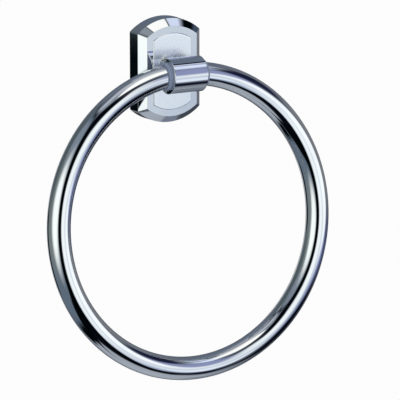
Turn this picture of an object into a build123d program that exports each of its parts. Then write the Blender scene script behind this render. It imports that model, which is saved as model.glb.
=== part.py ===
# Towel ring for a bathroom wall. A hollow cast plate hooks over a steel bracket on the wall,
# a short post on the plate ends in a sleeve, and a bent tube ring swings in that sleeve.
# Millimetres. The wall is the XZ plane, the room is on its -Y side and Z is up.
# The origin is on the wall, at the middle of the plate.
from build123d import *

import math
import os

# Wall plate: upright sides, arched ends, a drafted rim and a wide bevel round a raised panel
plate_width = 36.2
plate_height = 53.9
arch_radius = 27.0
rim_depth = 8.2
rim_draft = 1.5
bevel_width = 3.6
bevel_depth = 3.4
border_width = 3.5
panel_rise = 0.5
panel_round = 0.3
plate_wall = 2.0

# Post and sleeve
post_diameter = 14.0
post_length = 1.9
sleeve_length = 19.2
sleeve_wall = 1.85
sleeve_round = 0.4
bore_chamfer = 0.2
bore_gap = 0.1
spigot_diameter = 10.0
spigot_flats = 8.0
spigot_gap = 0.1
spigot_short = 0.3
tap_web = 0.7

# Ring: a bent tube, its two ends meeting over a plug inside the sleeve, swung a little off the wall
ring_diameter = 150.0
tube_diameter = 12.0
tube_wall = 1.2
end_gap = 3.2
ring_lean = 6.0
plug_length = 22.0
plug_gap = 0.1
plug_chamfer = 0.5

# Nylon bushes on the ends of the tube: round outside to turn in the sleeve, curved inside
bush_length = 7.0
bush_stand = 1.9
bush_wall = 0.7
bush_gap = 0.05
bush_round = 0.3

# Keeper screw under the sleeve, with a dog point between the ends of the tube
keeper_diameter = 4.0
keeper_recess = 0.2
keeper_bite = 1.1
keeper_side_gap = 0.3
neck_gap = 0.3
keeper_socket = 2.0
keeper_socket_depth = 1.2

# Screw and washers that hold the post from behind the plate
post_screw_diameter = 5.0
post_screw_head = 9.2
post_screw_head_height = 3.0
post_screw_head_round = 1.4
post_screw_chamfer = 0.5
post_screw_tip_room = 0.3
cross_length = 5.0
cross_width = 1.1
cross_depth = 1.6
washer_diameter = 13.0
washer_thickness = 1.0
lock_washer_diameter = 8.8
lock_washer_thickness = 1.2
lock_washer_slit = 0.8
washer_hole_gap = 0.15
thread_gap = 0.05

# Grub screw in the bottom of the plate, which draws the plate down on the bracket
grub_diameter = 4.0
grub_length = 8.0
grub_recess = 0.5
grub_chamfer = 0.6
grub_socket = 2.0
grub_socket_depth = 2.5
boss_width = 9.0
boss_height = 5.0
boss_back = 1.0

# Wall bracket, pressed from sheet
bracket_width = 21.0
sheet = 1.6
bend_radius = 1.6
bracket_corner = 2.0
wall_hole_diameter = 4.5
wall_hole_spacing = 18.0
joggle_room = 5.0
joggle_rise = 2.5
hook_width = 12.0
hook_back = 0.5
hook_thickness = 1.5
hook_gap = 0.15
hook_seat = 0.4
hook_overlap = 2.5
flange_gap = 1.5
flange_margin = 3.5

# Depths from the wall, and places that follow from the sizes above
rim_inset = rim_depth * math.tan(math.radians(rim_draft))
bevel_angle = math.degrees(math.atan2(bevel_width, bevel_depth))
face_depth = rim_depth + bevel_depth
panel_depth = face_depth + panel_rise
panel_inset = rim_inset + bevel_width + border_width
cavity_depth = face_depth - plate_wall

ring_radius = ring_diameter / 2
tube_radius = tube_diameter / 2
bush_reach = sleeve_length / 2 + bush_stand
sagitta = ring_radius - math.sqrt(ring_radius**2 - bush_reach**2)
ring_lift = sagitta / 2
bush_radius = tube_radius + ring_lift + bush_wall
bore_radius = bush_radius + bore_gap
sleeve_radius = bore_radius + sleeve_wall
axis_depth = panel_depth + post_length + sleeve_radius
ring_up = Vector(0, math.sin(math.radians(ring_lean)), math.cos(math.radians(ring_lean)))
ring_center = Vector(0, -axis_depth, 0) - ring_up * (ring_radius - ring_lift)
ring_axis = Axis(ring_center, ring_up.cross(Vector(1, 0, 0)))
end_angle = math.degrees(end_gap / 2 / ring_radius)
plug_angle = math.degrees(plug_length / 2 / ring_radius)
bush_angle = math.degrees(math.asin(bush_reach / (ring_radius - tube_diameter)))

keeper_tip_radius = tube_radius - keeper_bite
plug_neck_radius = keeper_tip_radius - ring_lift - neck_gap
dog_radius = end_gap / 2 * (1 - tube_radius / ring_radius) - keeper_side_gap

spigot_depth = cavity_depth + spigot_short
tap_depth = axis_depth - bore_radius - tap_web
lock_washer_depth = cavity_depth - washer_thickness
post_screw_seat = lock_washer_depth - lock_washer_thickness
post_screw_length = tap_depth - post_screw_tip_room - post_screw_seat

flange_reach = cavity_depth - flange_gap
grub_depth = flange_reach - flange_margin
grub_bottom = -plate_height / 2 + grub_recess
boss_foot = -plate_height / 2 + plate_wall / 2
boss_top = -plate_height / 2 + plate_wall + boss_height
boss_slope = (cavity_depth - rim_depth) * bevel_width / bevel_depth
flange_bottom = grub_bottom + grub_length
joggle_start = wall_hole_spacing / 2 + joggle_room
hook_bottom = joggle_start + joggle_rise + hook_seat
tab_depth = hook_back + hook_thickness + hook_gap
tab_top = hook_bottom + hook_overlap


def arched_face(inset):
    """The plate's outline, drawn in by an inset all round."""
    half_width = plate_width / 2 - inset
    half_height = plate_height / 2 - inset
    radius = arch_radius - inset
    corner = half_height - radius + math.sqrt(radius**2 - half_width**2)
    with BuildSketch() as face:
        with BuildLine():
            Line((half_width, -corner), (half_width, corner))
            ThreePointArc((half_width, corner), (0, half_height), (-half_width, corner))
            Line((-half_width, corner), (-half_width, -corner))
            ThreePointArc((-half_width, -corner), (0, -half_height), (half_width, -corner))
        make_face()
    return face.sketch


def flatted_disc(gap):
    """A disc with two upright flats, as large as the spigot plus a gap all round."""
    with BuildSketch() as disc:
        Circle(spigot_diameter / 2 + gap)
        Rectangle(spigot_flats + 2 * gap, spigot_diameter + 2 * gap, mode=Mode.INTERSECT)
    return disc.sketch


def tube_plane(angle):
    """The plane square to the ring's tube, at an angle from its top towards +X."""
    outward = ring_up.rotate(ring_axis, angle)
    return Plane(origin=ring_center, x_dir=outward, z_dir=ring_axis.direction.cross(outward))


# Wall plate
with BuildPart() as base_cover:
    with BuildSketch(Plane.XZ):
        add(arched_face(0))
    extrude(amount=rim_depth, taper=rim_draft)
    rim_front = base_cover.faces().sort_by(Axis.Y)[0]
    extrude(rim_front, amount=bevel_depth, taper=bevel_angle)
    offset(amount=-plate_wall, openings=base_cover.faces().sort_by(Axis.Y)[-1])
    with BuildSketch(Plane.XZ.offset(face_depth)):
        add(arched_face(panel_inset))
    extrude(amount=panel_rise)
    fillet(base_cover.faces().sort_by(Axis.Y)[0].edges(), panel_round)
    with BuildSketch(Plane.XZ.offset(hook_back)):
        with Locations((0, plate_height / 2 - plate_wall / 2)):
            Rectangle(
                hook_width,
                plate_height / 2 - plate_wall / 2 - hook_bottom,
                align=(Align.CENTER, Align.MAX),
            )
    extrude(amount=hook_thickness)
    with BuildSketch(Plane.YZ):
        with BuildLine():
            Polyline(
                (-boss_back, boss_foot),
                (-rim_depth, boss_foot),
                (-cavity_depth, boss_foot + boss_slope),
                (-cavity_depth, boss_top),
                (-boss_back, boss_top),
                close=True,
            )
        make_face()
    extrude(amount=boss_width / 2, both=True)
    with BuildSketch(Plane.XY.offset(-plate_height / 2)):
        with Locations((0, -grub_depth)):
            Circle(grub_diameter / 2 + thread_gap)
    extrude(amount=plate_wall + boss_height, mode=Mode.SUBTRACT)
    with BuildSketch(Plane.XZ.offset(cavity_depth)):
        add(flatted_disc(spigot_gap))
    extrude(amount=panel_depth - cavity_depth, mode=Mode.SUBTRACT)
base_cover.part.label = "base_cover"

# Post with its sleeve and spigot
with BuildPart() as ring_holder:
    with BuildSketch(Plane.YZ):
        with Locations((-axis_depth, 0)):
            Circle(sleeve_radius)
            Circle(bore_radius, mode=Mode.SUBTRACT)
    extrude(amount=sleeve_length / 2, both=True)
    sleeve_rims = ring_holder.edges().filter_by(GeomType.CIRCLE).sort_by(SortBy.RADIUS)
    fillet(sleeve_rims[-2:], sleeve_round)
    chamfer(sleeve_rims[:2], bore_chamfer)
    with BuildSketch(Plane.XZ.offset(panel_depth)):
        Circle(post_diameter / 2)
    extrude(amount=axis_depth - panel_depth)
    with BuildSketch(Plane.XZ.offset(spigot_depth)):
        add(flatted_disc(0))
    extrude(amount=panel_depth - spigot_depth)
    with BuildSketch(Plane.YZ):
        with Locations((-axis_depth, 0)):
            Circle(bore_radius)
    extrude(amount=sleeve_length / 2, both=True, mode=Mode.SUBTRACT)
    with BuildSketch(Plane.XZ.offset(spigot_depth)):
        Circle(post_screw_diameter / 2 + thread_gap)
    extrude(amount=tap_depth - spigot_depth, mode=Mode.SUBTRACT)
    with BuildSketch(Plane.XY.offset(-sleeve_radius)):
        with Locations((0, -axis_depth)):
            Circle(keeper_diameter / 2 + thread_gap)
    extrude(amount=sleeve_radius, mode=Mode.SUBTRACT)
ring_holder.part.label = "ring_holder"

# Bent tube of the ring, open at the top where its ends face each other
with BuildPart() as towel_ring:
    with BuildSketch(tube_plane(end_angle)):
        with Locations((ring_radius, 0)):
            Circle(tube_radius)
            Circle(tube_radius - tube_wall, mode=Mode.SUBTRACT)
    revolve(axis=ring_axis, revolution_arc=360 - 2 * end_angle)
towel_ring.part.label = "towel_ring"

# Curved plug pressed into both ends of the tube, with a turned neck between them
with BuildPart() as ring_joining_plug:
    with BuildSketch(tube_plane(-plug_angle)):
        with Locations((ring_radius, 0)):
            Circle(tube_radius - tube_wall - plug_gap)
    revolve(axis=ring_axis, revolution_arc=2 * plug_angle)
    chamfer(ring_joining_plug.edges().filter_by(GeomType.CIRCLE), plug_chamfer)
    with BuildSketch(tube_plane(-end_angle)):
        with Locations((ring_radius, 0)):
            Circle(tube_radius)
            Circle(plug_neck_radius, mode=Mode.SUBTRACT)
    revolve(axis=ring_axis, revolution_arc=2 * end_angle, mode=Mode.SUBTRACT)
ring_joining_plug.part.label = "ring_joining_plug"

# Bush on each end of the tube
bushes = []
for side, label in ((1, "ring_bush_right"), (-1, "ring_bush_left")):
    with BuildPart() as bush:
        with BuildSketch(Plane.YZ.offset(side * bush_reach)):
            with Locations((-axis_depth, 0)):
                Circle(bush_radius)
        extrude(amount=-side * bush_length)
        outer_rim = bush.edges().filter_by(GeomType.CIRCLE).sort_by(Axis.X, reverse=side < 0)[-1]
        fillet(outer_rim, bush_round)
        with BuildSketch(tube_plane(-bush_angle)):
            with Locations((ring_radius, 0)):
                Circle(tube_radius + bush_gap)
        revolve(axis=ring_axis, revolution_arc=2 * bush_angle, mode=Mode.SUBTRACT)
    bush.part.label = label
    bushes.append(bush)

# Keeper screw: a short threaded body with a dog point and a hexagon socket
with BuildPart() as ring_keeper_screw:
    with BuildSketch(Plane.XY.offset(-sleeve_radius + keeper_recess)):
        with Locations((0, -axis_depth)):
            Circle(keeper_diameter / 2)
    extrude(amount=sleeve_wall - keeper_recess)
    with BuildSketch(Plane.XY.offset(-bore_radius)):
        with Locations((0, -axis_depth)):
            Circle(dog_radius)
    extrude(amount=bore_radius - keeper_tip_radius)
    with BuildSketch(Plane.XY.offset(-sleeve_radius + keeper_recess)):
        with Locations((0, -axis_depth)):
            RegularPolygon(keeper_socket / 2, 6, major_radius=False)
    extrude(amount=keeper_socket_depth, mode=Mode.SUBTRACT)
ring_keeper_screw.part.label = "ring_keeper_screw"

# Cross-recessed pan-head screw that holds the post
with BuildPart() as holder_screw:
    with BuildSketch(Plane.XZ.offset(post_screw_seat)):
        Circle(post_screw_head / 2)
    extrude(amount=-post_screw_head_height)
    fillet(holder_screw.edges().sort_by(Axis.Y)[-1], post_screw_head_round)
    with BuildSketch(Plane.XZ.offset(post_screw_seat)):
        Circle(post_screw_diameter / 2)
    extrude(amount=post_screw_length)
    chamfer(holder_screw.edges().sort_by(Axis.Y)[0], post_screw_chamfer)
    with BuildSketch(Plane.XZ.offset(post_screw_seat - post_screw_head_height)):
        Rectangle(cross_length, cross_width)
        Rectangle(cross_width, cross_length)
    extrude(amount=cross_depth, mode=Mode.SUBTRACT)
holder_screw.part.label = "holder_screw"

# Split lock washer under the head of that screw
with BuildPart() as holder_lock_washer:
    with BuildSketch(Plane.XZ.offset(post_screw_seat)):
        Circle(lock_washer_diameter / 2)
        Circle(post_screw_diameter / 2 + washer_hole_gap, mode=Mode.SUBTRACT)
        with Locations((0, lock_washer_diameter / 2)):
            Rectangle(lock_washer_slit, lock_washer_diameter, mode=Mode.SUBTRACT)
    extrude(amount=lock_washer_thickness)
holder_lock_washer.part.label = "holder_lock_washer"

# Plain washer against the inside of the plate
with BuildPart() as holder_washer:
    with BuildSketch(Plane.XZ.offset(lock_washer_depth)):
        Circle(washer_diameter / 2)
        Circle(post_screw_diameter / 2 + washer_hole_gap, mode=Mode.SUBTRACT)
    extrude(amount=washer_thickness)
holder_washer.part.label = "holder_washer"

# Wall bracket: a foot flange for the grub screw, a flat back and a joggled hook tab on top
with BuildPart() as wall_bracket:
    with BuildSketch(Plane.YZ):
        with BuildLine():
            FilletPolyline(
                (-flange_reach, flange_bottom + sheet / 2),
                (-sheet / 2, flange_bottom + sheet / 2),
                (-sheet / 2, joggle_start),
                (-sheet / 2 - tab_depth, joggle_start + joggle_rise),
                (-sheet / 2 - tab_depth, tab_top),
                radius=bend_radius,
            )
        trace(line_width=sheet)
    extrude(amount=bracket_width / 2, both=True)
    tab_corners = wall_bracket.faces().sort_by(Axis.Z)[-1].edges().filter_by(Axis.Y)
    flange_corners = wall_bracket.faces().sort_by(Axis.Y)[0].edges().filter_by(Axis.Z)
    fillet(tab_corners + flange_corners, bracket_corner)
    with BuildSketch(Plane.XZ):
        with GridLocations(0, wall_hole_spacing, 1, 2):
            Circle(wall_hole_diameter / 2)
    extrude(amount=sheet, mode=Mode.SUBTRACT)
wall_bracket.part.label = "wall_bracket"

# Grub screw that bears up against the bracket's foot flange
with BuildPart() as cover_grub_screw:
    with BuildSketch(Plane.XY.offset(grub_bottom)):
        with Locations((0, -grub_depth)):
            Circle(grub_diameter / 2)
    extrude(amount=grub_length)
    chamfer(cover_grub_screw.edges().sort_by(Axis.Z)[-1], grub_chamfer)
    with BuildSketch(Plane.XY.offset(grub_bottom)):
        with Locations((0, -grub_depth)):
            RegularPolygon(grub_socket / 2, 6, major_radius=False)
    extrude(amount=grub_socket_depth, mode=Mode.SUBTRACT)
cover_grub_screw.part.label = "cover_grub_screw"

pieces = [
    base_cover,
    ring_holder,
    towel_ring,
    ring_joining_plug,
    *bushes,
    ring_keeper_screw,
    holder_screw,
    holder_lock_washer,
    holder_washer,
    wall_bracket,
    cover_grub_screw,
]
os.makedirs("parts", exist_ok=True)
for piece in pieces:
    export_step(piece.part, f"parts/{piece.part.label}.step")
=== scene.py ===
# Looks of the towel ring: chrome plate, sleeve and ring as fine meshes over the CAD frame.
# The scene is in metres, and the sizes of the pieces are written in millimetres.
import math

import bmesh
import bpy
from mathutils import Matrix, Vector


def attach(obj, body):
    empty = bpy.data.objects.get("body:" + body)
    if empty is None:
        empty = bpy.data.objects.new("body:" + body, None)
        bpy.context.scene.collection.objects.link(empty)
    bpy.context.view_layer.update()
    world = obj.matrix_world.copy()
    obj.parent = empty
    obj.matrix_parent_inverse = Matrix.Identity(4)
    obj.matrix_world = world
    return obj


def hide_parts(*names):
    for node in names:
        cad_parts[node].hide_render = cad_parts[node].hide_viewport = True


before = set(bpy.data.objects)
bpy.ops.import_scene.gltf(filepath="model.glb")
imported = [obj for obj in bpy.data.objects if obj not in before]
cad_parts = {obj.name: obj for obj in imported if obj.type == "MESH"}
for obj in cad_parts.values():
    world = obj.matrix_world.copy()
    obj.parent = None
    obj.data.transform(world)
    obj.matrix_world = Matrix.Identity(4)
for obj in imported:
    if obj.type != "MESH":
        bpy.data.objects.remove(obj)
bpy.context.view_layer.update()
scene = bpy.context.scene
scene.view_settings.view_transform = "Standard"
print("frame loaded")

millimetre = 0.001
mergeGap = 0.0005  # points nearer than this, in millimetres, become one


# Meshes

def linkMesh(name, bm):
    mesh = bpy.data.meshes.new(name)
    bm.to_mesh(mesh)
    bm.free()
    piece = bpy.data.objects.new(name, mesh)
    scene.collection.objects.link(piece)
    return piece


# A mesh drawn in millimetres becomes an object in metres.
def newPiece(name, bm):
    bmesh.ops.remove_doubles(bm, verts=bm.verts, dist=mergeGap)
    bmesh.ops.recalc_face_normals(bm, faces=bm.faces)
    bmesh.ops.scale(bm, vec=(millimetre, millimetre, millimetre), verts=bm.verts)
    return linkMesh(name, bm)


# Quads between neighbouring loops of points, each loop closed on itself.
def skin(bm, loops, joined=False):
    rows = [[bm.verts.new(point) for point in loop] for loop in loops]
    pairs = list(zip(rows, rows[1:]))
    if joined:
        pairs.append((rows[-1], rows[0]))
    for low, high in pairs:
        count = len(low)
        for k in range(count):
            n = (k + 1) % count
            bm.faces.new((low[k], low[n], high[n], high[k]))
    return rows


# The same with a face over the first loop and one over the last.
def solidMesh(loops):
    bm = bmesh.new()
    rows = skin(bm, loops)
    bm.faces.new(rows[0])
    bm.faces.new(rows[-1])
    return bm


def turnAngles(steps):
    return [2 * math.pi * k / steps for k in range(steps)]


# A point on the curve that leaves low towards tip and comes to high from tip.
def curvePoint(low, tip, high, t):
    return low * (1 - t) ** 2 + tip * 2 * t * (1 - t) + high * t**2


# A path of straight runs with each inner corner rounded by its own radius.
def roundedPath(points, radii, steps=5):
    path = [points[0]]
    for k in range(1, len(points) - 1):
        point = Vector(points[k])
        radius = radii[k - 1]
        before = Vector(points[k - 1]) - point
        after = Vector(points[k + 1]) - point
        corner = before.angle(after)
        before.normalize()
        after.normalize()
        reach = radius / math.tan(corner / 2)
        start = point + before * reach
        end = point + after * reach
        middle = point + (before + after).normalized() * (radius / math.sin(corner / 2))
        turn = (start - middle).angle_signed(end - middle)
        for s in range(steps + 1):
            path.append(tuple(middle + Matrix.Rotation(-turn * s / steps, 2) @ (start - middle)))
    path.append(points[-1])
    return path


# One solid joined to, or cut out of, another; the tool is used up.
def combine(piece, tool, operation):
    modifier = piece.modifiers.new(operation.lower(), "BOOLEAN")
    modifier.solver = "EXACT"
    modifier.operation = operation
    modifier.object = tool
    bpy.context.view_layer.objects.active = piece
    bpy.ops.object.modifier_apply(modifier=modifier.name)
    mesh = tool.data
    bpy.data.objects.remove(tool)
    bpy.data.meshes.remove(mesh)


# Smooth shading that stays flat on flats and breaks at real edges.
def smooth(piece, edgeAngle=32.0, faceWeight=80):
    mesh = piece.data
    mesh.polygons.foreach_set("use_smooth", [True] * len(mesh.polygons))
    mesh.set_sharp_from_angle(angle=math.radians(edgeAngle))
    weighted = piece.modifiers.new("flat faces stay flat", "WEIGHTED_NORMAL")
    weighted.keep_sharp = True
    weighted.weight = faceWeight


# Every edge rounded; a profile of one half is a true round.
def roundEdges(bm, radius, steps=3):
    bmesh.ops.bevel(bm, geom=bm.edges[:], offset=radius, segments=steps, profile=0.5, affect="EDGES")


def cylinderTool(name, radius, start, end, steps=64):
    axis = (Vector(end) - Vector(start)).normalized()
    side = axis.orthogonal().normalized() * radius
    other = axis.cross(side)
    circle = [side * math.cos(a) + other * math.sin(a) for a in turnAngles(steps)]
    loops = [[Vector(centre) + point for point in circle] for centre in (start, end)]
    return newPiece(name, solidMesh(loops))


def blockTool(name, low, high, edgeRound):
    bm = bmesh.new()
    bmesh.ops.create_cube(bm, size=1)
    for vert in bm.verts:
        vert.co = Vector([a + (b - a) * (c + 0.5) for a, b, c in zip(low, high, vert.co)])
    roundEdges(bm, edgeRound)
    return newPiece(name, bm)


# A side outline of (depth, height) points carried across to a width.
def prismTool(name, outline, width, edgeRound):
    bm = solidMesh([[(side * width / 2, y, z) for y, z in outline] for side in (-1, 1)])
    roundEdges(bm, edgeRound)
    return newPiece(name, bm)


# Materials

def materialTree(name):
    material = bpy.data.materials.new(name)
    material.use_nodes = True
    tree = material.node_tree
    tree.nodes.clear()
    output = tree.nodes.new("ShaderNodeOutputMaterial")
    return material, tree, output


# A socket takes either another node's output or a plain value.
def plug(tree, socket, value):
    if hasattr(value, "is_output"):
        tree.links.new(value, socket)
    else:
        socket.default_value = value


def addNode(tree, kind, settings=None, **inputs):
    node = tree.nodes.new(kind)
    for key, value in (settings or {}).items():
        setattr(node, key, value)
    for key, value in inputs.items():
        plug(tree, node.inputs[key.replace("_", " ")], value)
    return node


def calculate(tree, operation, *values):
    node = addNode(tree, "ShaderNodeMath", {"operation": operation})
    for socket, value in zip(node.inputs, values):
        plug(tree, socket, value)
    return node.outputs["Value"]


def objectPoint(tree, stretch=(1, 1, 1)):
    place = addNode(tree, "ShaderNodeTexCoord")
    mapping = addNode(tree, "ShaderNodeMapping", Vector=place.outputs["Object"], Scale=stretch)
    return mapping.outputs["Vector"]


def noise(tree, scale, detail, stretch=(1, 1, 1)):
    node = addNode(tree, "ShaderNodeTexNoise", Vector=objectPoint(tree, stretch), Scale=scale, Detail=detail)
    return node.outputs["Fac"]


# A texture's value carried from its own span to another; most of a noise lies in the span given here.
def spread(tree, value, low, high, span=(0.3, 0.7)):
    node = addNode(
        tree, "ShaderNodeMapRange", Value=value, From_Min=span[0], From_Max=span[1], To_Min=low, To_Max=high
    )
    return node.outputs["Result"]


# Two colours blended by a texture's value over a span of it.
def twoTone(tree, value, first, second, span):
    node = addNode(tree, "ShaderNodeValToRGB", Fac=value)
    for k, colour in enumerate((first, second)):
        node.color_ramp.elements[k].position = span[k]
        node.color_ramp.elements[k].color = colour
    return node.outputs["Color"]


def bumpFrom(tree, height, strength, distance):
    node = addNode(tree, "ShaderNodeBump", Strength=strength, Distance=distance, Height=height)
    return node.outputs["Normal"]


def coat(tree, output, **inputs):
    shader = addNode(tree, "ShaderNodeBsdfPrincipled", **inputs)
    tree.links.new(shader.outputs["BSDF"], output.inputs["Surface"])


chrome = {
    "colour": (0.88, 0.89, 0.91, 1),
    "cloudColour": (0.83, 0.845, 0.875, 1),
    "cloudScale": 55.0,
    "cloudDetail": 4.0,
    "cloudSpan": (0.3, 0.62),
    "roughness": (0.012, 0.032),
    "wipeScale": 420.0,  # fine marks left by polishing
    "wipeDetail": 6.0,
    "ripple": 0.012,  # slow waviness of the plated surface
    "rippleScale": 140.0,
    "rippleDetail": 1.0,
    "rippleDepth": 0.001,
}
satinWithPaintedSheen = {
    **chrome,
    # the panel's tint is brighter and bluer than the polished chrome: a painted sheen of pale lavender
    # light; its satin roughness is real
    "colour": (0.95, 0.97, 1.0, 1),
    "cloudColour": (0.91, 0.935, 0.975, 1),
    "roughness": (0.23, 0.29),  # the panel is blasted before it is plated
}


# Plated metal; the polishing marks run across the stretched axes.
def chromeMaterial(name, stretch, look):
    material, tree, output = materialTree(name)
    cloud = noise(tree, look["cloudScale"], look["cloudDetail"])
    wipe = noise(tree, look["wipeScale"], look["wipeDetail"], stretch)
    ripple = noise(tree, look["rippleScale"], look["rippleDetail"])
    coat(
        tree,
        output,
        Base_Color=twoTone(tree, cloud, look["cloudColour"], look["colour"], look["cloudSpan"]),
        Metallic=1.0,
        Roughness=spread(tree, wipe, *look["roughness"]),
        Normal=bumpFrom(tree, ripple, look["ripple"], look["rippleDepth"]),
    )
    return material


zinc = {
    "bright": (0.66, 0.68, 0.71, 1),
    "dull": (0.44, 0.46, 0.5, 1),
    "crystalScale": 260.0,
    "grain": (900, 900, 40),  # streaks of the rolled sheet, along its length
    "roughness": (0.24, 0.46),
}
screwSteel = {
    "bright": (0.6, 0.61, 0.64, 1),
    "dull": (0.36, 0.37, 0.42, 1),
    "crystalScale": 700.0,
    "grain": (300, 300, 2200),
    "roughness": (0.2, 0.42),
}
brass = {
    "bright": (0.82, 0.61, 0.26, 1),
    "dull": (0.6, 0.4, 0.15, 1),
    "crystalScale": 320.0,
    "grain": (1800, 160, 160),  # turning marks round the plug
    "roughness": (0.2, 0.38),
}
plainMetal = {
    "crystalShare": 0.35,  # how much the crystals count beside the streaks
    "span": (0.35, 0.9),
    "streakDetail": 5.0,
    "bump": 0.12,
    "bumpDepth": 0.0002,
}


# Plain metal with crystals in its plating, streaks along one way and a little bump from them.
def metalMaterial(name, look):
    material, tree, output = materialTree(name)
    crystal = addNode(
        tree, "ShaderNodeTexVoronoi", Vector=objectPoint(tree), Scale=look["crystalScale"], Randomness=1.0
    )
    cells = addNode(tree, "ShaderNodeSeparateColor", Color=crystal.outputs["Color"])
    streak = noise(tree, 1.0, plainMetal["streakDetail"], look["grain"])
    blend = calculate(tree, "MULTIPLY_ADD", cells.outputs["Red"], plainMetal["crystalShare"], streak)
    polished, rough = look["roughness"]
    coat(
        tree,
        output,
        Base_Color=twoTone(tree, blend, look["dull"], look["bright"], plainMetal["span"]),
        Metallic=1.0,
        Roughness=spread(tree, blend, rough, polished, plainMetal["span"]),
        Normal=bumpFrom(tree, streak, plainMetal["bump"], plainMetal["bumpDepth"]),
    )
    return material


nylon = {
    "colour": (0.19, 0.24, 0.35, 1),
    "pale": (0.26, 0.315, 0.45, 1),
    "mottle": 900.0,
    "mottleDetail": 5.0,
    "span": (0.35, 0.7),
    "roughness": (0.38, 0.5),
    "bump": 0.1,
    "bumpDepth": 0.0001,
}


# Moulded grey nylon with a slight mottle and a fine matt grain.
def nylonMaterial(name, look):
    material, tree, output = materialTree(name)
    mottle = noise(tree, look["mottle"], look["mottleDetail"])
    coat(
        tree,
        output,
        Base_Color=twoTone(tree, mottle, look["colour"], look["pale"], look["span"]),
        Roughness=spread(tree, mottle, *look["roughness"]),
        Normal=bumpFrom(tree, mottle, look["bump"], look["bumpDepth"]),
    )
    return material


# how many times finer the polishing marks are along X, Y and Z
polish = {
    "plate": (1, 1, 6),
    "panel": (6, 1, 1),
    "sleeve": (1, 6, 6),
    "ring": (2, 6, 2),
}
plateChrome = chromeMaterial("plateChrome", polish["plate"], chrome)
panelChrome = chromeMaterial("panelChrome", polish["panel"], satinWithPaintedSheen)
sleeveChrome = chromeMaterial("sleeveChrome", polish["sleeve"], chrome)
ringChrome = chromeMaterial("ringChrome", polish["ring"], chrome)
bracketZinc = metalMaterial("bracketZinc", zinc)
screwZinc = metalMaterial("screwZinc", screwSteel)
plugBrass = metalMaterial("plugBrass", brass)
bushNylon = nylonMaterial("bushNylon", nylon)
print("materials made")


# Wall plate: a hollow casting with arched ends, a drafted rim, a wide bevel and a raised panel

plate = {
    "width": 36.2,
    "height": 53.9,
    "archRadius": 27.0,
    "rimDepth": 8.2,
    "rimDraft": 1.5,  # degrees
    "bevelWidth": 3.6,
    "bevelDepth": 3.4,
    "borderWidth": 3.5,
    "panelRise": 0.5,
    "wall": 2.0,
    "edgeRound": 0.22,
    "innerRound": 0.6,
    "panelRound": 0.3,
    "panelFoot": 0.12,
    "cornerRound": 0.35,
    "floorReach": 2.0,  # flat stretch inside before the face that closes the mesh
    "panelReach": 1.2,  # the same on the panel
    "satinFrom": 0.9,  # share of the panel's rise at which its satin starts
    "hookWidth": 12.0,
    "hookBack": 0.5,
    "hookThickness": 1.5,
    "hookTip": 16.9,  # height of its lower edge
    "hookRound": 0.25,
    "bossWidth": 9.0,
    "bossBack": 1.0,
    "bossHeight": 5.0,
    "bossSink": 0.6,  # how far it goes into the plate's floor
    "bossRound": 0.3,
    "screwHole": 2.05,
    "screwDepth": 4.6,
    "drillPast": 2.0,
}
draft = math.tan(math.radians(plate["rimDraft"]))
rimInset = plate["rimDepth"] * draft
faceInset = rimInset + plate["bevelWidth"]
faceDepth = plate["rimDepth"] + plate["bevelDepth"]
panelInset = faceInset + plate["borderWidth"]
panelDepth = faceDepth + plate["panelRise"]
innerFloor = faceDepth - plate["wall"]
rimMiddle = (plate["height"] - plate["wall"]) / 2  # height of the middle of the rim's wall
bossTop = plate["wall"] + plate["bossHeight"] - plate["height"] / 2


# The plate's outline drawn in by an inset, at a depth from the wall.
def archOutline(inset, depth, sideSteps=14, archSteps=56, cornerSteps=4):
    halfWidth = plate["width"] / 2 - inset
    halfHeight = plate["height"] / 2 - inset
    radius = plate["archRadius"] - inset
    centre = halfHeight - radius
    corner = centre + math.sqrt(radius**2 - halfWidth**2)
    cut = plate["cornerRound"]
    reach = math.asin(halfWidth / radius) - cut / radius

    low = Vector((halfWidth, corner - cut))
    tip = Vector((halfWidth, corner))
    high = Vector((radius * math.sin(reach), centre + radius * math.cos(reach)))
    rounding = [curvePoint(low, tip, high, k / cornerSteps) for k in range(1, cornerSteps)]
    half = [Vector((halfWidth, (corner - cut) * (2 * k / sideSteps - 1))) for k in range(sideSteps + 1)]
    half += rounding
    for k in range(archSteps + 1):
        angle = reach * (1 - 2 * k / archSteps)
        half.append(Vector((radius * math.sin(angle), centre + radius * math.cos(angle))))
    half += [Vector((-point.x, point.y)) for point in reversed(rounding)]
    outline = half + [-point for point in half]
    return [(point.x, -depth, point.y) for point in outline]


# The plate's section as (inset, depth) points, from its inner floor round the rim to the panel.
def plateSection():
    wall = plate["wall"]
    width = plate["bevelWidth"]
    depth = plate["bevelDepth"]
    # the inside follows the outside at the wall's thickness
    slope = math.hypot(width, depth)
    bevelStart = Vector((rimInset + wall * depth / slope, plate["rimDepth"] - wall * width / slope))
    along = (wall + bevelStart.y * draft - bevelStart.x) / (width - depth * draft)
    innerKnee = (bevelStart.x + along * width, bevelStart.y + along * depth)
    floorInset = bevelStart.x + (innerFloor - bevelStart.y) / depth * width
    corners = [
        (floorInset + plate["floorReach"], innerFloor),
        (floorInset, innerFloor),
        innerKnee,
        (wall, 0.0),
        (0.0, 0.0),
        (rimInset, plate["rimDepth"]),
        (faceInset, faceDepth),
        (panelInset, faceDepth),
        (panelInset, panelDepth),
        (panelInset + plate["panelReach"], panelDepth),
    ]
    inner = plate["innerRound"]
    edge = plate["edgeRound"]
    radii = [inner, inner, edge, edge / 2, edge, edge, plate["panelFoot"], plate["panelRound"]]
    return roundedPath(corners, radii)


# The lip inside the top rim that hooks over the wall bracket.
def hookTool():
    side = plate["hookWidth"] / 2
    front = plate["hookBack"] + plate["hookThickness"]
    low = (-side, -front, plate["hookTip"])
    high = (side, -plate["hookBack"], rimMiddle)
    return blockTool("hook", low, high, plate["hookRound"])


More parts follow.
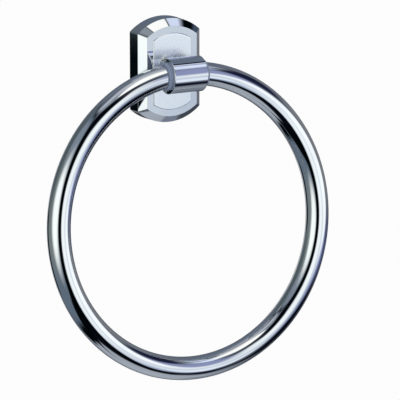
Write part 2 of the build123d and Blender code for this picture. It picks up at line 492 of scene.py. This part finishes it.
# The screw boss inside the bottom rim slopes with the bevel, so that it stays hidden.
def bossTool():
    front = innerFloor + plate["bossSink"]
    sloped = -rimMiddle + (front - plate["rimDepth"]) * plate["bevelWidth"] / plate["bevelDepth"]
    outline = [
        (-plate["bossBack"], -rimMiddle),
        (-plate["rimDepth"], -rimMiddle),
        (-front, sloped),
        (-front, bossTop),
        (-plate["bossBack"], bossTop),
    ]
    return prismTool("boss", outline, plate["bossWidth"], plate["bossRound"])


def buildPlate():
    loops = [archOutline(inset, depth) for inset, depth in plateSection()]
    piece = newPiece("bevelledPlate", solidMesh(loops))
    combine(piece, hookTool(), "UNION")
    combine(piece, bossTool(), "UNION")
    hole = cylinderTool(
        "hole",
        plate["screwHole"],
        (0, -plate["screwDepth"], -plate["height"] / 2 - plate["drillPast"]),
        (0, -plate["screwDepth"], bossTop + plate["drillPast"]),
    )
    combine(piece, hole, "DIFFERENCE")
    piece.data.materials.append(plateChrome)
    piece.data.materials.append(panelChrome)
    satinDepth = (faceDepth + plate["panelRise"] * plate["satinFrom"]) * millimetre
    for face in piece.data.polygons:
        face.material_index = 1 if face.center.y < -satinDepth else 0
    smooth(piece)
    return piece


bevelledPlate = buildPlate()
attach(bevelledPlate, "mount")
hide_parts("base_cover")
print("plate built")


# The ring's fit in its sleeve: a curved tube turns in a straight bore, with a bush on each of its ends

fit = {
    "ringRadius": 75.0,
    "tubeRadius": 6.0,
    "sleeveLength": 19.2,
    "sleeveWall": 1.85,
    "bushStand": 1.9,  # how far a bush's collar stands out of the sleeve
    "bushWall": 0.7,
    "boreGap": 0.1,
    "postLength": 1.9,
}
bushReach = fit["sleeveLength"] / 2 + fit["bushStand"]
arcRise = fit["ringRadius"] - math.sqrt(fit["ringRadius"] ** 2 - bushReach**2)
ringLift = arcRise / 2  # the tube rises as far above the axis as its bushes' ends dip below it
boreRadius = fit["tubeRadius"] + ringLift + fit["bushWall"] + fit["boreGap"]
sleeveRadius = boreRadius + fit["sleeveWall"]
axisDepth = panelDepth + fit["postLength"] + sleeveRadius


# Post and sleeve: one casting, flat at the ends of the sleeve, with a flatted spigot behind

sleeve = {
    "endRound": 0.4,
    "endCap": 3.0,  # radius of the faces that close the ends before the bore is cut
    "boreEdge": 0.2,
    "turnSteps": 160,
    "endSteps": 14,
    "postRadius": 7.0,
    "postBand": 0.6,
    "postFillet": 0.8,
    "filletSink": 0.03,  # the fillet's end dips under the sleeve's skin, for a clean join
    "postSteps": 96,
    "filletSteps": 8,
    "coreShare": (0.8, 0.5),  # the post's inner end, drawn in along and across the sleeve
    "coreBack": 1.0,
    "spigotRadius": 5.0,
    "spigotFlats": 8.0,
    "spigotShort": 0.3,  # how far it stops short of the plate's floor
    "spigotSink": 1.0,
    "spigotSteps": 20,
    "screwHole": 2.55,
    "screwWeb": 0.7,  # metal left between the screw hole and the bore
    "keeperHole": 2.05,
    "drillPast": 1.0,
}
spigotFoot = innerFloor + sleeve["spigotShort"]
screwTop = axisDepth - boreRadius - sleeve["screwWeb"]


# A profile of (place along the sleeve, radius) turned round the sleeve's axis.
def turned(name, profile):
    angles = turnAngles(sleeve["turnSteps"])
    loops = []
    for x, radius in profile:
        loops.append([(x, radius * math.cos(a) - axisDepth, radius * math.sin(a)) for a in angles])
    return newPiece(name, solidMesh(loops))


# The place on the back of the sleeve over a point of the post's section.
def onSleeve(reach, angle):
    across = reach * math.sin(angle)
    back = math.sqrt(sleeveRadius**2 - across**2) - axisDepth
    return Vector((reach * math.cos(angle), back, across))


def buildPost():
    radius = sleeve["postRadius"]
    fillet = sleeve["postFillet"]
    angles = turnAngles(sleeve["postSteps"])
    loops = []
    for depth in (panelDepth, panelDepth + sleeve["postBand"]):
        loops.append([(radius * math.cos(a), -depth, radius * math.sin(a)) for a in angles])
    for s in range(sleeve["filletSteps"] + 1):
        loop = []
        for angle in angles:
            tip = onSleeve(radius, angle)
            low = tip + Vector((0, fillet, 0))
            high = onSleeve(radius + fillet, angle) - Vector((0, sleeve["filletSink"], 0))
            loop.append(curvePoint(low, tip, high, s / sleeve["filletSteps"]))
        loops.append(loop)
    along, across = sleeve["coreShare"]
    depth = axisDepth - sleeve["coreBack"]
    loops.append([Vector((point.x * along, -depth, point.z * across)) for point in loops[-1]])
    return newPiece("post", solidMesh(loops))


def buildSpigot():
    radius = sleeve["spigotRadius"]
    steps = sleeve["spigotSteps"]
    half = math.pi / 2 - math.acos(sleeve["spigotFlats"] / 2 / radius)
    angles = []
    for side in (math.pi / 2, 3 * math.pi / 2):
        angles += [side - half + 2 * half * k / steps for k in range(steps + 1)]
    loops = []
    for depth in (spigotFoot, panelDepth + sleeve["spigotSink"]):
        loops.append([(radius * math.cos(a), -depth, radius * math.sin(a)) for a in angles])
    return newPiece("spigot", solidMesh(loops))


def buildSleeve():
    half = fit["sleeveLength"] / 2
    past = sleeve["drillPast"]
    cap = sleeve["endCap"]
    corners = [(half, cap), (half, sleeveRadius), (-half, sleeveRadius), (-half, cap)]
    outside = roundedPath(corners, [sleeve["endRound"], sleeve["endRound"]], sleeve["endSteps"])
    piece = turned("sleevePost", outside)
    combine(piece, buildPost(), "UNION")
    combine(piece, buildSpigot(), "UNION")
    edge = sleeve["boreEdge"]
    flare = (half + past, boreRadius + edge + past)
    inside = [flare, (half - edge, boreRadius), (-half + edge, boreRadius), (-flare[0], flare[1])]
    combine(piece, turned("bore", inside), "DIFFERENCE")
    tap = cylinderTool("tap", sleeve["screwHole"], (0, -spigotFoot + past, 0), (0, -screwTop, 0))
    combine(piece, tap, "DIFFERENCE")
    keeper = cylinderTool(
        "keeper",
        sleeve["keeperHole"],
        (0, -axisDepth, -sleeveRadius - past),
        (0, -axisDepth, -boreRadius + past),
    )
    combine(piece, keeper, "DIFFERENCE")
    piece.data.materials.append(sleeveChrome)
    smooth(piece)
    return piece


sleevePost = buildSleeve()
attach(sleevePost, "mount")
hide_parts("ring_holder")
print("sleeve and post built")


# Ring: a bent tube, open at the top inside the sleeve

ring = {
    "meshDrop": 0.03,  # keeps the fine mesh inside the coarser CAD tube
    "tubeWall": 1.2,
    "endGap": 3.2,
    "endRound": 0.3,
    "endSteps": 3,
    "lean": 6.0,  # degrees off the wall
    "ringSteps": 420,
    "innerSteps": 140,
    "tubeSteps": 72,
    "edgeAngle": 40.0,
}


def buildRing():
    lean = math.radians(ring["lean"])
    upward = Vector((0, math.sin(lean), math.cos(lean)))
    sideways = Vector((1, 0, 0))
    across = upward.cross(sideways)
    ringRadius = fit["ringRadius"]
    centre = Vector((0, -axisDepth, 0)) - upward * (ringRadius - ringLift)
    gap = ring["endGap"] / 2 / ringRadius
    last = 2 * math.pi - gap
    turns = turnAngles(ring["tubeSteps"])

    # one loop of the tube at an angle round the ring, counted from the top
    def loop(angle, radius):
        outward = upward * math.cos(angle) + sideways * math.sin(angle)
        points = []
        for turn in turns:
            reach = ringRadius + radius * math.cos(turn)
            points.append(centre + outward * reach + across * (radius * math.sin(turn)))
        return points

    outside = fit["tubeRadius"] - ring["meshDrop"]
    edge = ring["endRound"]
    rounding = []
    for k in range(ring["endSteps"] + 1):
        t = math.pi / 2 * k / ring["endSteps"]
        rounding.append((edge / ringRadius * (1 - math.cos(t)), edge * (math.sin(t) - 1)))
    start = gap + rounding[-1][0]
    loops = [loop(gap + step, outside + drop) for step, drop in rounding]
    for k in range(1, ring["ringSteps"]):
        loops.append(loop(start + (2 * math.pi - 2 * start) * k / ring["ringSteps"], outside))
    loops += [loop(last - step, outside + drop) for step, drop in reversed(rounding)]
    # back through the inside of the tube
    for k in range(ring["innerSteps"] + 1):
        loops.append(loop(last - (last - gap) * k / ring["innerSteps"], outside - ring["tubeWall"]))
    bm = bmesh.new()
    skin(bm, loops, joined=True)
    piece = newPiece("tubeRing", bm)
    piece.data.materials.append(ringChrome)
    smooth(piece, ring["edgeAngle"])
    return piece


tubeRing = buildRing()
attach(tubeRing, "ring")
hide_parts("towel_ring")
print("ring built")


# The hardware keeps its CAD shape and takes its own material

hardware = {
    "ring_joining_plug": plugBrass,
    "ring_bush_right": bushNylon,
    "ring_bush_left": bushNylon,
    "ring_keeper_screw": screwZinc,
    "holder_screw": screwZinc,
    "holder_lock_washer": screwZinc,
    "holder_washer": screwZinc,
    "wall_bracket": bracketZinc,
    "cover_grub_screw": screwZinc,
}
for node, material in hardware.items():
    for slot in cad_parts[node].material_slots:
        slot.material = material
print("hardware coloured")


# Studio: a tent of soft panels that only the metal mirrors, a pale floor and one broad lamp

tent = {
    "radius": 1.1,
    "centre": (0.0, -0.03, -0.07),
    "steps": (96, 48),  # round it and up it
    # heights from straight down to straight up, as (degrees, colour)
    "shades": [
        (-90, (0.41, 0.45, 0.51)),
        (-62, (0.355, 0.395, 0.445)),
        (-50, (0.16, 0.18, 0.22)),
        (-10, (0.12, 0.14, 0.16)),
        (30, (0.11, 0.13, 0.16)),
        (58, (0.17, 0.2, 0.26)),
        (70, (0.36, 0.39, 0.45)),
        (90, (0.55, 0.56, 0.58)),
    ],
    # azimuth runs from straight out of the wall to the right; later panels hang before earlier ones, each is
    # (name, outline, azimuth, elevation, half width, half height, soft edge, rise per degree, colour)
    "panels": [
        ("behind right", "square", 144, 15, 34, 30, 14, 0.0, (0.12, 0.15, 0.2)),
        ("straight behind", "round", 151, -15, 28, 20, 8, 0.0, (0.04, 0.045, 0.055)),
        ("back sheet right", "square", 174, -8, 8, 18, 3, 0.0, (0.55, 0.57, 0.6)),
        ("back sheet left", "square", -176, -8, 6, 18, 3, 0.0, (0.55, 0.57, 0.6)),
        ("upper left slate", "square", -145, 68, 40, 7, 5, 0.0, (0.1, 0.125, 0.16)),
        ("upper right slate", "square", 108, 60, 26, 8, 5, 0.0, (0.13, 0.165, 0.23)),
        ("ceiling", "square", 25, 80, 70, 12, 7, 0.0, (0.62, 0.63, 0.64)),
        ("ceiling left", "square", -38, 74, 42, 7, 5, 0.0, (0.46, 0.5, 0.6)),
        ("lilac sheet", "square", 47, 51, 11, 8, 5, 0.0, (0.76, 0.85, 1.05)),
        ("grey wedge", "square", -28, 64, 11, 8, 2.5, 0.0, (0.27, 0.31, 0.34)),
        ("cream sheet", "round", 22, 66, 37, 15, 4, 0.0, (1.13, 1.14, 1.08)),
        ("cream edge", "square", -16, 68, 1.5, 6, 1, 0.0, (0.05, 0.05, 0.06)),
        ("pale sheet", "square", 73, 57.5, 10.5, 6, 4, -0.75, (0.74, 0.82, 1.0)),
        ("thin bar", "square", 80, 64.5, 9, 4, 1.2, 0.0, (0.012, 0.015, 0.022)),
        ("floor mat", "round", 110, -61, 15, 9, 5, 0.0, (0.19, 0.22, 0.28)),
        ("left frame", "arched", -95, -1, 64, 66, 2.5, 0.0, (0.001, 0.002, 0.003)),
        ("left field", "arched", -98, 4, 62, 57.5, 4, 0.0, (0.12, 0.16, 0.21)),
        ("left upper field", "round", -82, 44, 36, 15, 10, 0.0, (0.21, 0.25, 0.31)),
        ("left glow", "round", -102, 4, 45, 30, 18, 0.0, (0.19, 0.225, 0.22)),
        ("far left shade", "round", -140, 28, 24, 30, 12, 0.0, (0.085, 0.11, 0.12)),
        ("left softbox", "round", -66, 8, 27, 27, 13, 0.0, (1.08, 1.14, 1.1)),
        ("behind left", "square", -150, -18, 11, 15, 3, 0.0, (0.001, 0.003, 0.004)),
        ("right wall", "square", 102, 8, 24, 24, 9, 0.0, (0.2, 0.21, 0.23)),
        ("right upper wall", "square", 100, 40, 22, 8, 6, 0.0, (0.15, 0.16, 0.2)),
        ("right slate", "square", 98, 28, 5, 8, 2, 0.0, (0.06, 0.085, 0.13)),
        ("right skirt", "square", 86, -18, 42, 9, 5, 0.0, (0.07, 0.085, 0.15)),
        ("lavender skirt", "square", 54, -11, 15, 5, 6, 0.0, (0.34, 0.4, 0.66)),
        ("middle sheet", "round", 17, -5, 22, 34, 8, 0.0, (0.39, 0.47, 0.61)),
        ("middle softbox", "round", 10, 4, 19, 26, 10, 0.0, (1.0, 1.05, 1.05)),
        ("low glow", "round", 30.5, -20, 7.5, 8.5, 3.3, 0.0, (0.85, 0.92, 1.02)),
        ("right haze", "round", 37, 22, 13, 18, 5, 0.0, (0.28, 0.32, 0.52)),
        ("right softbox", "round", 51, 4, 22, 14, 5, 0.0, (1.05, 1.1, 1.12)),
        ("navy flag", "round", 73, 33, 21, 11, 5, 0.0, (0.012, 0.014, 0.045)),
        ("black corner", "square", 90.5, 39.5, 4.5, 6, 1.5, -1.5, (0.001, 0.002, 0.003)),
        ("low right slate", "square", 106, -36, 18, 13, 4, 0.0, (0.055, 0.066, 0.085)),
        ("low right flag", "square", 70.5, -34, 21.5, 12.5, 3.5, 0.0, (0.002, 0.003, 0.008)),
        ("camera gap", "square", -21.5, 2, 14, 48, 4.5, 0.0, (0.0, 0.001, 0.001)),
        ("upper flag", "square", -12, 41.5, 26, 11.5, 4, -0.2, (0.001, 0.002, 0.004)),
        ("flag tail", "square", 15, 38, 11, 5, 4, -0.45, (0.03, 0.033, 0.04)),
        ("lower flag", "square", -12, -46.5, 44, 10.5, 4, 0.0, (0.002, 0.003, 0.006)),
        ("gap foot", "square", 0, -34, 15, 13, 3, -0.8, (0.001, 0.002, 0.003)),
        ("left foot flag", "square", -52, -50, 24, 14, 3, 0.8, (0.001, 0.002, 0.003)),
        ("low middle flag", "square", 40, -44, 11, 9, 4, 0.0, (0.006, 0.007, 0.022)),
        ("thin stand", "square", 60, 65, 1.5, 4, 1, 0.0, (0.1, 0.1, 0.1)),
    ],
    "bends": {"round": 2.0, "arched": 4.0},  # 2 is an ellipse, more is nearer to a square
}


# One inside a half size, nothing outside it, with a soft edge between.
def softEdge(tree, distance, half, soft):
    node = addNode(
        tree,
        "ShaderNodeMapRange",
        {"interpolation_type": "SMOOTHSTEP"},
        Value=distance,
        From_Min=half + soft,
        From_Max=half - soft,
    )
    return node.outputs["Result"]


# The tent's plain cloth, coloured by height alone.
def tentCloth(tree, elevation):
    height = spread(tree, elevation, 0.0, 1.0, (-90.0, 90.0))
    cloth = addNode(tree, "ShaderNodeValToRGB", Fac=height)
    stops = cloth.color_ramp.elements
    for k, (angle, colour) in enumerate(tent["shades"]):
        place = (angle + 90) / 180
        stop = stops[k] if k < 2 else stops.new(place)  # a new ramp has two stops already
        stop.position = place
        stop.color = (*colour, 1)
    return cloth.outputs["Color"]


# How much of a panel is seen in a direction.
def panelShare(tree, azimuth, elevation, outline, side, rise, halfWidth, halfHeight, soft, slope):
    across = calculate(tree, "SUBTRACT", azimuth, side)
    up = calculate(tree, "SUBTRACT", elevation, rise)
    if slope:
        up = calculate(tree, "SUBTRACT", up, calculate(tree, "MULTIPLY", across, slope))
    across = calculate(tree, "ABSOLUTE", across)
    up = calculate(tree, "ABSOLUTE", up)
    if outline == "square":
        wide = softEdge(tree, across, halfWidth, soft)
        return calculate(tree, "MULTIPLY", wide, softEdge(tree, up, halfHeight, soft))
    bend = tent["bends"][outline]
    wide = calculate(tree, "POWER", calculate(tree, "DIVIDE", across, halfWidth), bend)
    tall = calculate(tree, "POWER", calculate(tree, "DIVIDE", up, halfHeight), bend)
    reach = calculate(tree, "POWER", calculate(tree, "ADD", wide, tall), 1 / bend)
    return softEdge(tree, reach, 1.0, soft / halfWidth)


def tentMaterial():
    material, tree, output = materialTree("tentPanels")
    place = addNode(tree, "ShaderNodeTexCoord")
    unit = addNode(tree, "ShaderNodeVectorMath", {"operation": "NORMALIZE"})
    tree.links.new(place.outputs["Object"], unit.inputs[0])
    axes = addNode(tree, "ShaderNodeSeparateXYZ", Vector=unit.outputs["Vector"])
    forward = calculate(tree, "MULTIPLY", axes.outputs["Y"], -1.0)
    azimuth = calculate(tree, "DEGREES", calculate(tree, "ARCTAN2", axes.outputs["X"], forward))
    elevation = calculate(tree, "DEGREES", calculate(tree, "ARCSINE", axes.outputs["Z"]))

    result = tentCloth(tree, elevation)
    for name, *shape, colour in tent["panels"]:
        layer = addNode(tree, "ShaderNodeMix", {"data_type": "RGBA", "label": name})
        # a colour mix has its share at 0, the colours under and over at 6 and 7, and its result at 2
        plug(tree, layer.inputs[0], panelShare(tree, azimuth, elevation, *shape))
        plug(tree, layer.inputs[6], result)
        plug(tree, layer.inputs[7], (*colour, 1))
        result = layer.outputs[2]
    glow = addNode(tree, "ShaderNodeEmission", Color=result, Strength=1.0)
    tree.links.new(glow.outputs["Emission"], output.inputs["Surface"])
    material.cycles.emission_sampling = "NONE"
    return material


def buildTent():
    around, upward = tent["steps"]
    bm = bmesh.new()
    bmesh.ops.create_uvsphere(bm, u_segments=around, v_segments=upward, radius=tent["radius"])
    shell = linkMesh("studioTent", bm)
    shell.data.materials.append(tentMaterial())
    shell.location = tent["centre"]
    for ray in ("camera", "diffuse", "shadow", "transmission", "volume_scatter"):
        setattr(shell, f"visible_{ray}", False)
    return shell


floor = {
    "height": -1.25,  # about where a bathroom floor is under a towel ring
    "size": 40.0,
    "colour": (0.93, 0.93, 0.93, 1),
    "dull": (0.91, 0.91, 0.91, 1),
    "grainScale": 3.0,
    "grainDetail": 3.0,
    "white": 0.93,  # share of plain white that the eye and the metal see; the rest takes the shadow
}


# One on rays from the eye, mirrored rays and rays through glass, nothing on the others.
def seenDirectly(tree):
    path = addNode(tree, "ShaderNodeLightPath")
    seen = path.outputs["Is Camera Ray"]
    for ray in ("Is Glossy Ray", "Is Transmission Ray"):
        seen = calculate(tree, "MAXIMUM", seen, path.outputs[ray])
    return seen


def floorMaterial():
    material, tree, output = materialTree("paleFloor")
    grain = noise(tree, floor["grainScale"], floor["grainDetail"])
    shade = twoTone(tree, grain, floor["dull"], floor["colour"], (0.0, 1.0))
    plain = addNode(tree, "ShaderNodeBsdfDiffuse", Color=shade)
    white = addNode(tree, "ShaderNodeEmission", Color=(1, 1, 1, 1), Strength=1.0)
    share = calculate(tree, "MULTIPLY", seenDirectly(tree), floor["white"])
    both = addNode(tree, "ShaderNodeMixShader", Fac=share)
    tree.links.new(plain.outputs["BSDF"], both.inputs[1])
    tree.links.new(white.outputs["Emission"], both.inputs[2])
    tree.links.new(both.outputs["Shader"], output.inputs["Surface"])
    material.cycles.emission_sampling = "NONE"
    return material


def buildFloor():
    half = floor["size"] / 2
    bm = bmesh.new()
    corners = [(-half, -half, 0), (half, -half, 0), (half, half, 0), (-half, half, 0)]
    bm.faces.new([bm.verts.new(corner) for corner in corners])
    plane = linkMesh("paleFloor", bm)
    plane.data.materials.append(floorMaterial())
    plane.location = (0, 0, floor["height"])
    return plane


sky = {"white": (1, 1, 1, 1), "light": 0.75}


def buildSky():
    world = bpy.data.worlds.new("studio")
    world.use_nodes = True
    tree = world.node_tree
    tree.nodes.clear()
    output = tree.nodes.new("ShaderNodeOutputWorld")
    level = spread(tree, seenDirectly(tree), sky["light"], 1.0, (0.0, 1.0))
    back = addNode(tree, "ShaderNodeBackground", Color=sky["white"], Strength=level)
    tree.links.new(back.outputs["Background"], output.inputs["Surface"])
    scene.world = world


lamp = {"place": (-0.9, -1.3, 1.2), "size": 1.4, "power": 9.0}


def buildLamp():
    light = bpy.data.lights.new("broadLamp", "AREA")
    light.size = lamp["size"]
    light.energy = lamp["power"]
    shown = bpy.data.objects.new("broadLamp", light)
    shown.location = lamp["place"]
    aim = Vector(tent["centre"]) - Vector(lamp["place"])
    shown.rotation_euler = aim.to_track_quat("-Z", "Y").to_euler()
    shown.visible_glossy = False
    scene.collection.objects.link(shown)


buildTent()
buildFloor()
buildSky()
buildLamp()
print("studio built")


# Camera: a long lens, left of the middle and a little above the ring

camera = {
    "azimuth": -29.74,
    "elevation": 12.82,
    "lens": 270.0,
    "sensor": 36.0,
    "distance": 1.5257,
    "farthest": 100.0,
    "target": (0.0, -0.02, -0.065),
    "moved": (0.00993, -0.0002),  # to the right and up, so that the object stands as in the photograph
}


def buildCamera():
    turn = math.radians(camera["azimuth"])
    tilt = math.radians(camera["elevation"])
    back = Vector((math.sin(turn) * math.cos(tilt), -math.cos(turn) * math.cos(tilt), math.sin(tilt)))
    right = Vector((math.cos(turn), math.sin(turn), 0))
    up = back.cross(right)
    data = bpy.data.cameras.new("camera")
    data.lens = camera["lens"]
    data.sensor_width = camera["sensor"]
    data.clip_end = camera["farthest"]
    shown = bpy.data.objects.new("camera", data)
    place = Vector(camera["target"]) + right * camera["moved"][0] + up * camera["moved"][1]
    place += back * camera["distance"]
    pose = Matrix((right, up, back)).transposed().to_4x4()
    pose.translation = place
    shown.matrix_world = pose
    scene.collection.objects.link(shown)
    scene.camera = shown


buildCamera()
print("camera set")
